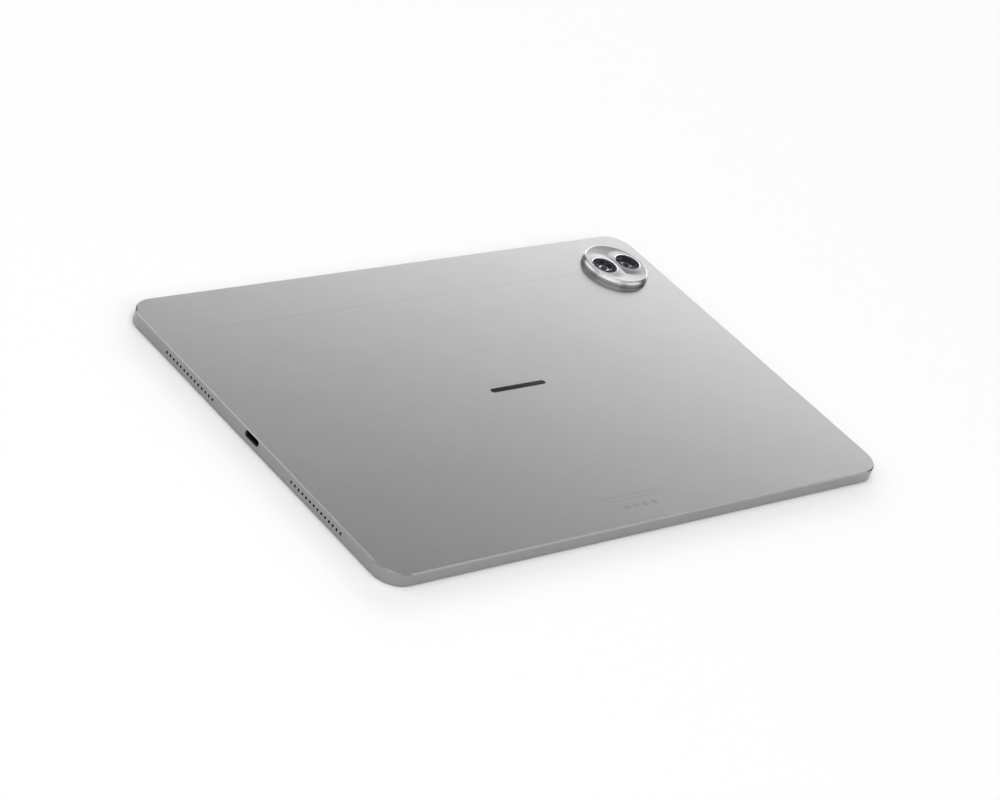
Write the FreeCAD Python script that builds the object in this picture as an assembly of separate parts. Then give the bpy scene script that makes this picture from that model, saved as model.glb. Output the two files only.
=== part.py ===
import FreeCAD, Part
import math
import os

# A thin aluminium-bodied tablet computer, lying screen down.
#
# Frame: millimetres, +Z up out of the back, +X from the charging-port end towards the camera end,
# +Y towards the long edge that has the camera. The origin is the middle of the screen glass's face.
#
# The body is one milled aluminium housing: back wall, four side walls and a ledge that the screen
# is glued to. From the screen inwards lie the glass, the display, and a bay with the battery,
# the boards, the speakers and the cameras.

V = FreeCAD.Vector
X_AXIS, Y_AXIS, Z_AXIS = V(1, 0, 0), V(0, 1, 0), V(0, 0, 1)

# ---- Driving sizes, in millimetres ----------------------------------------------------------

# Overall body, without the camera disc
body_length = 275.0
body_width = 181.0
body_thickness = 5.9
corner_radius = 11.0

# Housing
rim_height = 0.15            # the glass stands this far proud of the metal rim
rim_width = 1.1              # metal seen round the glass
back_chamfer = 0.5
rim_chamfer = 0.3
back_wall = 0.8
side_wall = 1.9
ledge_width = 3.0            # from the outside of the body to the ledge's inner edge
ledge_thickness = 0.9

# Clearances
glass_gap = 0.1              # glass edge to rim
part_gap = 0.4               # between neighbouring parts in the bay
slide_gap = 0.1              # round a part that moves
bay_floor_gap = 0.1          # between the display, the parts above it and the flexes
seat_gap = 0.05              # round a part that is glued or screwed in place

# Screen stack, from the face inwards
glass_thickness = 0.5
glass_edge_round = 0.3
print_thickness = 0.05
bond_thickness = 0.2
lcd_thickness = 0.5
lightguide_thickness = 0.7
tray_thickness = 0.2
tray_rim = 0.25
spreader_thickness = 0.08
spreader_inset = 6.0
bezel = 6.0                  # body edge to the lit area
lcd_border = 0.6             # the panel runs this far past the lit area
display_flex_width = 18.0
flex_thickness = 0.12
flex_bend = 0.5

# Camera disc and the two cameras in it
disc_radius = 15.5
disc_height = 2.7
disc_bevel_width = 0.95
disc_bevel_height = 1.3
disc_edge_round = 0.3
disc_margin_x = 8.0          # disc's edge to the body's short edge
disc_margin_y = 8.8          # disc's edge to the body's long edge
disc_foot_wall = 1.2         # between the disc's outside and the housing's hole
disc_top = 1.8
cavity_gap = 0.5             # round the camera cases, inside the disc
dish_margin = 0.7            # width of the flat rim between the bevel and the dish
dish_depth = 1.15
pad_slope = 1.6              # a pad's side spreads this far over the dish's depth
window_radius = 5.75
window_thickness = 0.55
window_drop = 0.08           # window's face below the pad round it
window_spacing = 14.1
window_ledge = 0.7           # width of the step that the window is glued to
pad_border = 0.55            # width of the raised pad round a window
pad_edge = 0.12              # polished chamfer at the pad's inner edge, and at the window's own edge
camera_body = 8.6            # side of a camera module
camera_height = 4.0
camera_foot = 0.4
camera_case_floor = 0.6
lens_radius = 3.4
lens_dish_radius = 2.9
lens_dish_depth = 0.9
focus_travel = 0.25
camera_board_thickness = 0.4
camera_flex_width = 6.0
bracket_border = 1.0         # the bracket's metal round a camera
bracket_end = 1.7            # from its screws to its ends
bracket_corner = 1.6

# Charging port, for a plug shell of 8.25 by 2.40
port_width = 8.34            # inside of the steel shell
port_height = 2.56
port_shell = 0.2
port_depth = 7.0
port_recess = 1.0            # shell's mouth below the body's side face
port_z = 3.95
mouth_border_y = 0.25        # the opening in the aluminium is this much larger at each side
mouth_border_z = 0.12
tongue_width = 6.2
tongue_thickness = 0.7
tongue_length = 4.6
tongue_plug = 1.2            # thickness of the plug that closes the shell's back
contact_count = 12
contact_pitch = 0.5
contact_width = 0.28
contact_length = 3.6
contact_thickness = 0.05

# Speakers
hole_count = 14
hole_pitch = 2.475
hole_diameter = 1.2
hole_z = 3.0
speaker_margin = 0.85        # from the outermost hole to the speaker box's end
speaker_depth = 18.0
speaker_skin = 0.5
speaker_screws = (1.0, 12.0) # from the speaker's middle, towards the tablet's middle
mesh_thickness = 0.2
mesh_width = 1.6
driver_length = 16.0
driver_width = 9.0
driver_height = 1.3
driver_corner = 3.0
driver_border = 0.5
film_thickness = 0.1
dome_border = 1.5
film_gap = 0.4               # film to the magnet under it

# Keys
key_width = 2.2
key_proud = 0.35
key_z = 3.25
key_flange = 0.5
key_flange_border = 0.45
power_length = 11.0
power_corner_gap = 3.0
rocker_length = 24.0
rocker_from_end = 52.5       # rocker's middle to the body's short edge
rocker_flange_half = 4.0
rocker_nub = 8.0             # nubs are this far each side of the rocker's middle
nub_radius = 0.6
nub_length = 0.4
dome_radius = 0.9
dome_height = 0.3
switch_length = 3.0
switch_height = 2.2
switch_thickness = 0.5
key_bracket = 0.4
bracket_overhang = 1.25      # a key's bracket is this much longer at each end

# Boards, screws and battery
board_thickness = 0.7
board_z = 3.2
screw_radius = 0.7
screw_head_radius = 1.25
screw_head_height = 0.4
screw_grip = 1.0             # length of thread in a boss
screw_slot = (1.3, 0.3, 0.2) # length, width and depth of each arm of the cross
boss_radius = 1.5
board_screw_inset = 2.4      # screw to the board's edges
ear_depth = 4.0              # screw ears beside a speaker box
main_board_width = 46.0
main_board_margin = 20.0     # board's end to the side wall
processor_from_top = 28.0    # from the board's end by the cameras
power_chips_from_top = 66.0
processor_size = 15.0
storage_size = (8.0, 13.0)
power_chip_size = 6.0
power_chip_pitch = 9.0
shield_width = 36.0
shield_skin = 0.15
socket_width = 3.0
socket_inset = 4.0           # a socket's middle to the board's edge
flex_overlap = 8.0           # a flex runs this far over the board that it plugs into
camera_bay = 9.9             # between the camera bracket and the main board
battery_cell_gap = 1.5
battery_thickness = 2.5
battery_corner = 2.0
battery_margin = 4.5         # battery to the side wall, past the magnets
battery_edge_round = 0.4
battery_flex_reach = 10.0    # the battery's flex reaches this far down the main board
strip_width = 18.0           # adhesive strips that hold a cell
strip_inset = 7.0
strip_from_flex = 9.0        # strip's edge to the long flex
tab_width = 5.0
tab_thickness = 0.1
tab_weld = 1.6               # length of tab that lies on the guard board
tab_offset = 10.0            # tabs each side of a cell's middle
guard_board_inset = 10.0
guard_board_width = 5.5
interconnect_width = 14.0
magnet_length = 14.0
magnet_depth = 3.0
magnet_height = 2.2
magnet_spacing = 30.0
magnet_pairs = 3

# Radio, microphones and front camera
slot_width = 0.6
slot_end = 20.0              # slot's end to the body's short edge
antenna_width = 30.0
antenna_height = 17.0
antenna_corner = 1.5
antenna_margin = 1.5         # antenna to the side wall
antenna_clear = 8.0          # antenna to the volume rocker's end
trace_thickness = 0.1
trace_inset = 2.0
trace_width = 2.5
coax_radius = 0.5
coax_bend = 6.0
coax_overlap = 3.0           # a lead starts this far down the main board
coax_starts = {"right": 14.0, "left": 10.0}   # from the main board's left edge
coax_lanes = {"right": 7.0, "left": 4.0}      # past the main board's end
mic_hole = 0.9
mic_size = 3.5
mic_thickness = 1.1
mic_height = 2.0
mic_places = (-45.0, 18.0)   # along the far long edge, from its middle
front_lens_radius = 1.3
front_camera_size = 5.0
front_camera_height = 1.8

# ---- Places worked out from those sizes -----------------------------------------------------

half_length = body_length / 2
half_width = body_width / 2
wall_x = half_length - side_wall
wall_y = half_width - side_wall
bay_roof = body_thickness - back_wall

print_z = glass_thickness
ledge_z = glass_thickness + bond_thickness
lcd_z = ledge_z
lightguide_z = lcd_z + lcd_thickness
tray_z = lightguide_z + lightguide_thickness
spreader_z = tray_z + tray_thickness
bay_floor = spreader_z + spreader_thickness + bay_floor_gap
flex_z = (bay_floor + bay_floor_gap, bay_floor + bay_floor_gap + flex_thickness)

lit_half_length = half_length - bezel
lit_half_width = half_width - bezel

board_top = board_z + board_thickness
screw_seat = board_z

disc_x = half_length - disc_radius - disc_margin_x
disc_y = half_width - disc_radius - disc_margin_y
disc_crown = body_thickness + disc_height
disc_hole_radius = disc_radius - disc_foot_wall
disc_cavity_radius = math.hypot((window_spacing + camera_body) / 2, camera_body / 2) + cavity_gap
window_floor = disc_crown - window_drop - window_thickness
camera_x = {"main": disc_x + window_spacing / 2, "second": disc_x - window_spacing / 2}
bracket_half = camera_body / 2 + bracket_border
bracket_screw = disc_hole_radius + boss_radius + part_gap + bracket_border

box_half = ((hole_count - 1) * hole_pitch + hole_diameter) / 2 + speaker_margin
speaker_outer = disc_y - bracket_half - part_gap
speaker_y = speaker_outer - box_half
speaker_inner = speaker_y - box_half
column = speaker_depth + ear_depth + 2 * part_gap
speaker_wall_x = wall_x - mesh_thickness
ear_x = speaker_wall_x - speaker_depth - ear_depth / 2

main_right = wall_x - column
main_left = main_right - main_board_width
main_top = disc_y - bracket_half - camera_bay
main_bottom = -wall_y + main_board_margin

port_board_end = -wall_x + column - part_gap

battery_left = -wall_x + column
battery_right = main_left - part_gap
battery_bottom = -wall_y + battery_margin
battery_top = main_top
guard_bottom = battery_top + part_gap

power_y = half_width - corner_radius - power_corner_gap - power_length / 2
rocker_x = half_length - rocker_from_end
antenna_y = wall_y - antenna_margin - antenna_height / 2
antenna_x = {
    "right": rocker_x - rocker_length / 2 - antenna_clear - antenna_width / 2,
    "left": -half_length + slot_end + antenna_width / 2,
}
front_camera_y = lit_half_width + lcd_border + part_gap + front_lens_radius


# ---- Small helpers --------------------------------------------------------------------------

def block(x, y, z):
    """A box from three (low, high) pairs."""
    return Part.makeBox(x[1] - x[0], y[1] - y[0], z[1] - z[0], V(x[0], y[0], z[0]))


def middle_block(centre, size, z):
    """A box of a given plan size about a centre."""
    x, y = centre
    return block((x - size[0] / 2, x + size[0] / 2), (y - size[1] / 2, y + size[1] / 2), z)


def rod(radius, start, direction, length):
    return Part.makeCylinder(radius, length, start, direction)


def rounded_wire(length, width, radius, z):
    """A rectangle with round corners, flat at height z."""
    x, y = length / 2, width / 2
    corners = [(x, y, 0), (-x, y, 90), (-x, -y, 180), (x, -y, 270)]
    arcs = []
    for cx, cy, start in corners:
        centre = V(math.copysign(abs(cx) - radius, cx), math.copysign(abs(cy) - radius, cy), z)
        arcs.append(Part.ArcOfCircle(Part.Circle(centre, Z_AXIS, radius),
                                     math.radians(start), math.radians(start + 90)).toShape())
    edges = []
    for here, following in zip(arcs, arcs[1:] + arcs[:1]):
        edges.append(here)
        edges.append(Part.makeLine(here.Vertexes[-1].Point, following.Vertexes[0].Point))
    return Part.Wire(edges)


def slab(length, width, radius, z, centre=(0, 0)):
    """A plate with round corners between two heights."""
    plate = Part.Face(rounded_wire(length, width, radius, z[0])).extrude(V(0, 0, z[1] - z[0]))
    plate.translate(V(centre[0], centre[1], 0))
    return plate


def body_slab(inset, z):
    """The body's own outline, taken in by inset."""
    return slab(body_length - 2 * inset, body_width - 2 * inset, corner_radius - inset, z)


def edges_at(shape, z):
    """The edges that lie wholly at one height."""
    return [e for e in shape.Edges
            if abs(e.BoundBox.ZMin - z) < 1e-6 and abs(e.BoundBox.ZMax - z) < 1e-6]


def stadium(width, height, centre, direction, length):
    """A bar with fully round ends: width across, height up, running along X or Y."""
    radius = height / 2
    reach = width / 2 - radius
    across = Y_AXIS if abs(direction.x) > 0.5 else X_AXIS
    ends = [centre + across * reach, centre - across * reach]
    bar = rod(radius, ends[0], direction, length).fuse(rod(radius, ends[1], direction, length))
    corner = centre - across * reach - Z_AXIS * radius
    web = Part.Wire([
        Part.makeLine(corner, corner + across * (2 * reach)),
        Part.makeLine(corner + across * (2 * reach), corner + across * (2 * reach) + Z_AXIS * height),
        Part.makeLine(corner + across * (2 * reach) + Z_AXIS * height, corner + Z_AXIS * height),
        Part.makeLine(corner + Z_AXIS * height, corner),
    ])
    return bar.fuse(Part.Face(web).extrude(direction * length)).removeSplitter()


def ribbon(points, bend, thickness, width, side):
    """A flat flexible strip: its line is straight runs joined by arcs, and side is its width's way."""
    line = path(points, bend)
    start = points[0]
    along = (points[1] - start).normalize()
    up = side.cross(along)
    low = start - side * (width / 2) - up * (thickness / 2)
    outline = Part.makePolygon([low, low + side * width, low + side * width + up * thickness,
                                low + up * thickness, low])
    return line.makePipeShell([outline], True, True)


def path(points, bend):
    """Straight runs joined by tangent arcs of one radius."""
    edges, here = [], points[0]
    for before, corner, after in zip(points, points[1:], points[2:]):
        back, on = (before - corner).normalize(), (after - corner).normalize()
        half_turn = (math.pi - back.getAngle(on)) / 2
        trim = bend * math.tan(half_turn)
        first, last = corner + back * trim, corner + on * trim
        inward = (back + on).normalize()
        crown = corner + inward * (bend / math.cos(half_turn) - bend)
        edges.append(Part.makeLine(here, first))
        edges.append(Part.Arc(first, crown, last).toShape())
        here = last
    edges.append(Part.makeLine(here, points[-1]))
    return Part.Wire(edges)


def group(shapes):
    """Separate solids that share one node."""
    return Part.makeCompound(shapes)


def screw_places():
    """Every screw's place in plan, all the same size of screw."""
    places = []
    for sx in (-1, 1):
        for sy in (-1, 1):
            places += speaker_screw_places(sx, sy)
    places += [(disc_x - bracket_screw, disc_y), (disc_x + bracket_screw, disc_y)]
    places += main_board_screws()
    places += usb_board_screws()
    return places


def speaker_screw_places(sx, sy):
    return [(sx * ear_x, sy * (speaker_y - offset)) for offset in speaker_screws]


def main_board_screws():
    xs = (main_left + board_screw_inset, main_right - board_screw_inset)
    below_flex = -(display_flex_width / 2 + boss_radius + part_gap)
    ys = (main_bottom + board_screw_inset, below_flex, main_top - board_screw_inset)
    return [(x, y) for x in xs for y in ys]


def usb_board_screws():
    x = -wall_x + part_gap + board_screw_inset
    y = speaker_inner - part_gap - board_screw_inset
    return [(x, y), (x, -y)]


def drilled(board, places):
    """A board with a screw hole at each place."""
    for x, y in places:
        board = board.cut(rod(screw_radius + slide_gap, V(x, y, board_z - 1), Z_AXIS,
                              board_thickness + 2))
    return board


# ---- Housing --------------------------------------------------------------------------------

def speaker_holes(sx, sy):
    holes = []
    for i in range(hole_count):
        y = sy * (speaker_y + (i - (hole_count - 1) / 2) * hole_pitch)
        holes.append(rod(hole_diameter / 2, V(sx * (wall_x - 1), y, hole_z), X_AXIS * sx,
                         side_wall + 2))
    return holes


def port_mouth():
    """The opening in the end wall, and the pocket behind it that the steel shell fills."""
    mouth = stadium(port_width + 2 * mouth_border_y, port_height + 2 * mouth_border_z,
                    V(-half_length - 1, 0, port_z), X_AXIS, port_recess + 1)
    return mouth.fuse(port_bar(port_shell + seat_gap, port_recess, port_depth + seat_gap))


def key_slots():
    grow = 2 * slide_gap
    power = stadium(power_length + grow, key_width + grow, V(wall_x - 1, power_y, key_z),
                    X_AXIS, side_wall + 2)
    rocker = stadium(rocker_length + 3 * grow, key_width + grow, V(rocker_x, wall_y - 1, key_z),
                     Y_AXIS, side_wall + 2)
    return [power, rocker]


def antenna_slot(width, z):
    """The slot that parts the antenna strip from the rest of the back, up to the disc's hole."""
    end = disc_x - disc_hole_radius + slot_width
    return block((-half_length + slot_end, end), (disc_y - width / 2, disc_y + width / 2), z)


def bosses():
    """Threaded posts that stand on the back wall, one for each screw."""
    return [rod(boss_radius, V(x, y, board_top), Z_AXIS, bay_roof - board_top)
            for x, y in screw_places()]


def screw_holes():
    return [rod(screw_radius, V(x, y, board_top - 1), Z_AXIS, 1 + screw_grip)
            for x, y in screw_places()]


def rear_housing():
    shell = body_slab(0, (rim_height, body_thickness))
    shell = shell.makeChamfer(back_chamfer, edges_at(shell, body_thickness))
    shell = shell.makeChamfer(rim_chamfer, edges_at(shell, rim_height))
    shell = shell.cut(body_slab(rim_width, (rim_height - 1, ledge_z)))
    shell = shell.cut(body_slab(ledge_width, (ledge_z - 1, ledge_z + ledge_thickness)))
    shell = shell.cut(body_slab(side_wall, (ledge_z + ledge_thickness, bay_roof)))
    shell = shell.fuse(bosses())
    cuts = [port_mouth(), antenna_slot(slot_width, (bay_roof - 1, body_thickness + 1))]
    cuts += key_slots() + screw_holes()
    for sx in (-1, 1):
        for sy in (-1, 1):
            cuts += speaker_holes(sx, sy)
    cuts.append(rod(disc_hole_radius, V(disc_x, disc_y, bay_roof - 1), Z_AXIS, back_wall + 2))
    for x in mic_places:
        cuts.append(rod(mic_hole / 2, V(x, wall_y - 1, hole_z), Y_AXIS, side_wall + 2))
    notch = front_lens_radius + 2 * slide_gap
    cuts.append(rod(notch, V(0, front_camera_y, ledge_z - 0.1), Z_AXIS, ledge_thickness + 0.2))
    return shell.cut(cuts)


def antenna_slot_filler():
    bar = antenna_slot(slot_width, (bay_roof, body_thickness))
    return bar.cut(rod(disc_hole_radius, V(disc_x, disc_y, bay_roof - 1), Z_AXIS, back_wall + 2))


# ---- Screen ---------------------------------------------------------------------------------

def cover_glass():
    glass = body_slab(rim_width + glass_gap, (0, glass_thickness))
    return glass.makeFillet(glass_edge_round, edges_at(glass, 0))


def lit_window(z):
    return slab(2 * lit_half_length, 2 * lit_half_width, max(1.0, corner_radius - bezel), z)


def glass_border_print():
    """Black ink on the inside of the glass, round the lit area, with a hole for the camera."""
    z = (print_z, print_z + print_thickness)
    border = body_slab(rim_width + glass_gap, z).cut(lit_window((z[0] - 1, z[1] + 1)))
    return border.cut(rod(front_lens_radius, V(0, front_camera_y, z[0] - 1), Z_AXIS, 2))


def optical_bond():
    return lit_window((print_z, lcd_z))


def display_adhesive():
    """A frame of tape between the inked glass border and the housing's ledge."""
    z = (print_z + print_thickness, ledge_z)
    tape = body_slab(rim_width + part_gap, z)
    tape = tape.cut(body_slab(ledge_width, (z[0] - 1, z[1] + 1)))
    return tape.cut(rod(front_lens_radius + 2 * slide_gap, V(0, front_camera_y, z[0] - 1), Z_AXIS, 2))


def panel(inset, z):
    """A plate the size of the display panel, taken in by inset."""
    grow = 2 * (lcd_border - inset)
    radius = max(1.0, corner_radius - bezel + lcd_border - inset)
    return slab(2 * lit_half_length + grow, 2 * lit_half_width + grow, radius, z)


def lcd_panel():
    return panel(0, (lcd_z, lightguide_z))


def backlight_unit():
    return panel(tray_rim + seat_gap, (lightguide_z, tray_z))


def backlight_tray():
    tray = panel(0, (lightguide_z, spreader_z))
    return tray.cut(panel(tray_rim, (lightguide_z - 1, tray_z)))


def heat_spreader():
    """Graphite sheet on the back of the display."""
    return panel(spreader_inset, (spreader_z, spreader_z + spreader_thickness))


def display_flex():
    """Leaves the panel's short edge, folds round the backlight and runs to the main board."""
    edge = lit_half_length + lcd_border
    turn = (edge + half_length - ledge_width) / 2
    top, low = (lcd_z + lightguide_z) / 2, (flex_z[0] + flex_z[1]) / 2
    end = main_right - socket_inset
    points = [V(edge, 0, top), V(turn, 0, top), V(turn, 0, low), V(end, 0, low)]
    return ribbon(points, flex_bend, flex_thickness, display_flex_width, Y_AXIS)


# ---- Keys -----------------------------------------------------------------------------------

def key_cap(length, centre, outward, flange_half):
    """A key: the part in the slot, a flange behind the wall that keeps it in."""
    proud = key_proud + side_wall + slide_gap
    cap = stadium(length, key_width, centre - outward * slide_gap, outward, proud)
    flange = stadium(2 * flange_half, key_width + 2 * key_flange_border,
                     centre - outward * (slide_gap + key_flange), outward, key_flange)
    return cap.fuse(flange)


def power_base():
    return V(wall_x, power_y, key_z)


def rocker_base():
    return V(rocker_x, wall_y, key_z)


def nub_start(base, outward):
    return base - outward * (slide_gap + key_flange)


def power_button():
    cap = key_cap(power_length, power_base(), X_AXIS, power_length / 2 + key_flange_border)
    return cap.fuse(rod(nub_radius, nub_start(power_base(), X_AXIS), -X_AXIS, nub_length))


def rocker_nubs():
    """The rocker's arms reach its two nubs behind the wall, clear of it as the rocker tilts."""
    start = nub_start(rocker_base(), Y_AXIS)
    return [start + X_AXIS * side * rocker_nub for side in (-1, 1)]


def volume_rocker():
    rocker = key_cap(rocker_length, rocker_base(), Y_AXIS, rocker_flange_half)
    for place in rocker_nubs():
        rocker = rocker.fuse(rod(nub_radius, place + Y_AXIS * key_flange, -Y_AXIS,
                                 key_flange + nub_length))
    return rocker


def dome(place, inward):
    return Part.makeCone(dome_radius / 2, dome_radius, dome_height, place, inward)


def switch(place, inward, across):
    """A small switch body behind a dome."""
    start = place + inward * dome_height
    corner = across * (switch_length / 2) + Z_AXIS * (switch_height / 2)
    low, high = start - corner, start + corner + inward * switch_thickness
    return block(*(sorted(pair) for pair in zip(low, high)))


def power_dome_place():
    return nub_start(power_base(), X_AXIS) - X_AXIS * nub_length


def power_switch_dome():
    return dome(power_dome_place(), -X_AXIS)


def power_switch():
    return switch(power_dome_place(), -X_AXIS, Y_AXIS)


def power_key_bracket():
    x = power_dome_place().x - dome_height - switch_thickness
    reach = power_length / 2 + bracket_overhang
    return block((x - key_bracket, x), (power_y - reach, power_y + reach), (bay_floor, bay_roof))


def volume_dome_places():
    return [place - Y_AXIS * nub_length for place in rocker_nubs()]


def volume_switch_domes():
    return group([dome(place, -Y_AXIS) for place in volume_dome_places()])


def volume_switches():
    return group([switch(place, -Y_AXIS, X_AXIS) for place in volume_dome_places()])


def volume_key_bracket():
    y = volume_dome_places()[0].y - dome_height - switch_thickness
    reach = rocker_length / 2 + bracket_overhang
    return block((rocker_x - reach, rocker_x + reach), (y - key_bracket, y), (bay_floor, bay_roof))


# ---- Charging port --------------------------------------------------------------------------

def port_bar(grow, start, length):
    """A bar of the port's own section, grown all round, from a depth below the body's end face."""
    return stadium(port_width + 2 * grow, port_height + 2 * grow,
                   V(-half_length + start, 0, port_z), X_AXIS, length)


def usb_shell():
    shell = port_bar(port_shell, port_recess, port_depth)
    return shell.cut(port_bar(0, port_recess - 1, port_depth + 1 - port_shell))


def tongue_root():
    """Where the tongue leaves the plug at the back of the shell."""
    return port_recess + port_depth - port_shell - tongue_plug


def usb_tongue():
    root = -half_length + tongue_root()
    blade = block((root - tongue_length, root), (-tongue_width / 2, tongue_width / 2),
                  (port_z - tongue_thickness / 2, port_z + tongue_thickness / 2))
    return port_bar(0, tongue_root(), tongue_plug).fuse(blade)


def usb_contacts():
    strips = []
    root = -half_length + tongue_root()
    for face in (-1, 1):
        z = sorted((port_z + face * tongue_thickness / 2,
                    port_z + face * (tongue_thickness / 2 + contact_thickness)))
        for i in range(contact_count):
            y = (i - (contact_count - 1) / 2) * contact_pitch
            strips.append(block((root - contact_length, root),
                                (y - contact_width / 2, y + contact_width / 2), z))
    return group(strips)


def usb_board():
    """Small board round the port, cut away where the port is sunk into it."""
    half = speaker_inner - part_gap
    board = block((-wall_x + part_gap, port_board_end), (-half, half), (board_z, board_top))
    notch = port_width / 2 + port_shell + seat_gap
    board = board.cut(block((-wall_x - 1, -half_length + port_recess + port_depth),
                            (-notch, notch), (board_z - 1, board_top + 1)))
    return drilled(board, usb_board_screws())


# ---- Speakers -------------------------------------------------------------------------------

def speaker_box(sx, sy):
    """A closed plastic chamber with a slot facing the holes, and two screw ears."""
    x = sorted((sx * speaker_wall_x, sx * (speaker_wall_x - speaker_depth)))
    y = (sy * speaker_y - box_half, sy * speaker_y + box_half)
    z = (bay_floor, bay_roof - seat_gap)
    box = block(x, y, z)
    inside = block((x[0] + speaker_skin, x[1] - speaker_skin), (y[0] + speaker_skin, y[1] - speaker_skin),
                   (z[0] + speaker_skin, z[1] - speaker_skin))
    throat = block(sorted((sx * (speaker_wall_x - 2 * speaker_skin), sx * (speaker_wall_x + 1))),
                   (y[0] + 2 * speaker_skin, y[1] - 2 * speaker_skin),
                   (hole_z - hole_diameter / 2, hole_z + hole_diameter / 2))
    box = box.cut([inside, throat])
    for place in speaker_screw_places(sx, sy):
        ear = middle_block(place, (ear_depth, ear_depth), (board_z, board_top))
        box = box.fuse(drilled(ear, [place]))
    return box


def in_speakers(make):
    """One piece for each of the four speakers, about its driver's centre."""
    x = speaker_wall_x - speaker_depth / 2
    return group([make(sx * x, sy * speaker_y) for sx in (-1, 1) for sy in (-1, 1)])


driver_floor = bay_floor + speaker_skin
film_z = driver_floor + driver_height


def driver_slab(inset, z, x, y):
    """The driver's own outline, taken in by inset."""
    return slab(driver_width - 2 * inset, driver_length - 2 * inset, driver_corner - inset, z, (x, y))


def speaker_drivers():
    """A frame that stands in the box, with the thin film and stiff dome that make the sound."""
    def driver(x, y):
        frame = driver_slab(0, (driver_floor, film_z), x, y)
        frame = frame.cut(driver_slab(driver_border, (driver_floor - 1, film_z - film_thickness), x, y))
        return frame.fuse(driver_slab(dome_border, (film_z, film_z + 2 * film_thickness), x, y))
    return in_speakers(driver)


def speaker_magnets():
    z = (driver_floor, film_z - film_gap)
    return in_speakers(lambda x, y: driver_slab(driver_border + slide_gap, z, x, y))


def speaker_meshes():
    """Fine cloth behind each row of holes."""
    strips = []
    for sx in (-1, 1):
        for sy in (-1, 1):
            x = sorted((sx * speaker_wall_x, sx * wall_x))
            y = (sy * speaker_y - box_half, sy * speaker_y + box_half)
            strips.append(block(x, y, (hole_z - mesh_width / 2, hole_z + mesh_width / 2)))
    return group(strips)


# ---- Cameras --------------------------------------------------------------------------------

def disc_blank():
    """The disc turned on a lathe: a plain wall, a polished bevel above it and a round top edge."""
    bevel_foot = disc_crown - disc_bevel_height
    half_section = Part.makePolygon([
        V(0, 0, body_thickness),
        V(disc_radius, 0, body_thickness),
        V(disc_radius, 0, bevel_foot),
        V(disc_radius - disc_bevel_width, 0, disc_crown),
        V(0, 0, disc_crown),
        V(0, 0, body_thickness),
    ])
    blank = Part.Face(half_section).revolve(V(0, 0, 0), Z_AXIS, 360)
    blank.translate(V(disc_x, disc_y, 0))
    return blank.makeFillet(disc_edge_round, edges_at(blank, disc_crown))


def dish_ball():
    """The large ball that hollows the disc's top to a shallow dish."""
    reach = disc_radius - disc_bevel_width - dish_margin
    radius = (reach ** 2 + dish_depth ** 2) / (2 * dish_depth)
    return Part.makeSphere(radius, V(disc_x, disc_y, disc_crown - dish_depth + radius))


def camera_disc():
    """Holds both cameras' windows, each on a raised pad in the dish."""
    disc = disc_blank().cut(dish_ball())
    pad = window_radius + pad_border
    for x in camera_x.values():
        disc = disc.fuse(Part.makeCone(pad + pad_slope, pad, dish_depth,
                                       V(x, disc_y, disc_crown - dish_depth)))
    disc = disc.fuse(rod(disc_hole_radius - seat_gap, V(disc_x, disc_y, bay_roof), Z_AXIS,
                         back_wall + 0.5))
    cuts = [rod(disc_cavity_radius, V(disc_x, disc_y, bay_roof - 1), Z_AXIS,
                1 + back_wall + disc_height - disc_top)]
    for x in camera_x.values():
        cuts.append(rod(window_radius, V(x, disc_y, window_floor), Z_AXIS, 2))
        cuts.append(rod(window_radius - window_ledge, V(x, disc_y, body_thickness), Z_AXIS, disc_height))
        cuts.append(Part.makeCone(window_radius, window_radius + 2 * pad_edge, 2 * pad_edge,
                                  V(x, disc_y, disc_crown - pad_edge)))
    return disc.cut(cuts)


def camera_window(name):
    window = rod(window_radius - seat_gap, V(camera_x[name], disc_y, window_floor), Z_AXIS,
                 window_thickness)
    return window.makeChamfer(pad_edge, edges_at(window, window_floor + window_thickness))


camera_floor = flex_z[0] + camera_board_thickness


def camera_board():
    foot = camera_body + 2 * camera_foot
    return middle_block((disc_x, disc_y), (window_spacing + foot, foot), (flex_z[0], camera_floor))


def camera_case(name):
    """The body of a camera, open down its middle for the lens, with a foot that the bracket holds."""
    place, foot = (camera_x[name], disc_y), camera_body + 2 * camera_foot
    case = middle_block(place, (camera_body, camera_body), (camera_floor, camera_floor + camera_height))
    case = case.fuse(middle_block(place, (foot, foot), (camera_floor, board_z)))
    return case.cut(rod(lens_radius + slide_gap, V(*place, camera_floor + camera_case_floor), Z_AXIS,
                        camera_height))


def camera_lens(name, lift):
    """Lens barrel with a dished front element. lift is how far it rests above its case's floor."""
    floor = camera_floor + camera_case_floor + lift
    crown = window_floor - focus_travel - slide_gap
    barrel = rod(lens_radius, V(camera_x[name], disc_y, floor), Z_AXIS, crown - floor)
    dish = Part.makeCone(lens_dish_radius - lens_dish_depth, lens_dish_radius, lens_dish_depth,
                         V(camera_x[name], disc_y, crown - lens_dish_depth))
    return barrel.cut(dish)


def camera_bracket():
    """A frame that holds both cameras down, screwed to the housing at its two ends."""
    reach = bracket_screw + bracket_end
    frame = slab(2 * reach, 2 * bracket_half, bracket_corner, (board_z, board_top), (disc_x, disc_y))
    side = camera_body + 2 * slide_gap
    for x in camera_x.values():
        frame = frame.cut(middle_block((x, disc_y), (side, side), (board_z - 1, board_top + 1)))
    return drilled(frame, [(disc_x - bracket_screw, disc_y), (disc_x + bracket_screw, disc_y)])


def camera_flex():
    x = camera_x["second"]
    y = disc_y - camera_body / 2 - camera_foot
    return block((x - camera_flex_width / 2, x + camera_flex_width / 2),
                 (main_top - flex_overlap, y), flex_z)


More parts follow.
